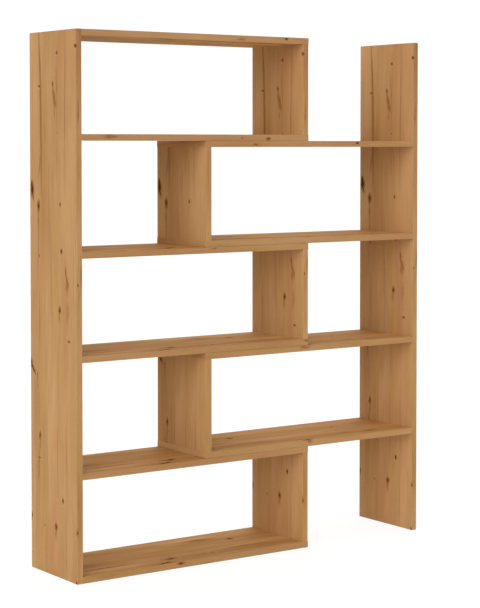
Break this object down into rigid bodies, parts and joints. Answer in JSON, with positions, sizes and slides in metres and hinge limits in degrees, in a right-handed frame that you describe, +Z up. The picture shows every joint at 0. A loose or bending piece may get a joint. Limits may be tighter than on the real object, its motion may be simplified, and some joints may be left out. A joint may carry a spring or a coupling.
{
  "type": "extendable shelving unit",
  "caption": "Open oak-look shelving unit whose two halves slide into each other like combs, so its width can be set.",
  "frame": {"origin": "on the floor, in the middle of the width and of the depth, with the unit drawn out as in the picture", "axes": "+Z up, +X to the right seen from the front, the front looks along -Y"},
  "size_m": [1.503, 0.32, 1.872],
  "materials": {
    "oak_board": "melamine-faced chipboard with a rustic knotty oak decor, satin",
    "zinc_steel": "zinc-plated screw"
  },
  "bodies": {
    "left_unit": {"left_side_panel": "oak_board", "bottom_panel": "oak_board", "left_divider_1": "oak_board", "left_shelf_1": "oak_board", "left_shelf_2": "oak_board", "left_divider_2": "oak_board", "left_shelf_3": "oak_board", "left_shelf_4": "oak_board", "left_divider_3": "oak_board", "top_panel": "oak_board", "bottom_panel_side_screw_front": "zinc_steel", "bottom_panel_side_screw_back": "zinc_steel", "bottom_panel_divider_screw_front": "zinc_steel", "bottom_panel_divider_screw_back": "zinc_steel", "left_shelf_1_side_screw_front": "zinc_steel", "left_shelf_1_side_screw_back": "zinc_steel", "left_shelf_1_divider_screw_front": "zinc_steel", "left_shelf_1_divider_screw_back": "zinc_steel", "left_shelf_2_side_screw_front": "zinc_steel", "left_shelf_2_side_screw_back": "zinc_steel", "left_shelf_2_divider_screw_front": "zinc_steel", "left_shelf_2_divider_screw_back": "zinc_steel", "left_shelf_3_side_screw_front": "zinc_steel", "left_shelf_3_side_screw_back": "zinc_steel", "left_shelf_3_divider_screw_front": "zinc_steel", "left_shelf_3_divider_screw_back": "zinc_steel", "left_shelf_4_side_screw_front": "zinc_steel", "left_shelf_4_side_screw_back": "zinc_steel", "left_shelf_4_divider_screw_front": "zinc_steel", "left_shelf_4_divider_screw_back": "zinc_steel", "top_panel_side_screw_front": "zinc_steel", "top_panel_side_screw_back": "zinc_steel", "top_panel_divider_screw_front": "zinc_steel", "top_panel_divider_screw_back": "zinc_steel"},
    "right_unit": {"right_side_panel": "oak_board", "right_shelf_1": "oak_board", "right_divider_1": "oak_board", "right_shelf_2": "oak_board", "right_shelf_3": "oak_board", "right_divider_2": "oak_board", "right_shelf_4": "oak_board", "right_shelf_1_side_screw_front": "zinc_steel", "right_shelf_1_side_screw_back": "zinc_steel", "right_shelf_1_divider_screw_front": "zinc_steel", "right_shelf_1_divider_screw_back": "zinc_steel", "right_shelf_2_side_screw_front": "zinc_steel", "right_shelf_2_side_screw_back": "zinc_steel", "right_shelf_2_divider_screw_front": "zinc_steel", "right_shelf_2_divider_screw_back": "zinc_steel", "right_shelf_3_side_screw_front": "zinc_steel", "right_shelf_3_side_screw_back": "zinc_steel", "right_shelf_3_divider_screw_front": "zinc_steel", "right_shelf_3_divider_screw_back": "zinc_steel", "right_shelf_4_side_screw_front": "zinc_steel", "right_shelf_4_side_screw_back": "zinc_steel", "right_shelf_4_divider_screw_front": "zinc_steel", "right_shelf_4_divider_screw_back": "zinc_steel"}
  },
  "joints": [
    {"name": "extension_slide", "type": "slide", "parent": "left_unit", "child": "right_unit", "axis": [1, 0, 0], "range_m": [-0.502, 0.253]}
  ]
}
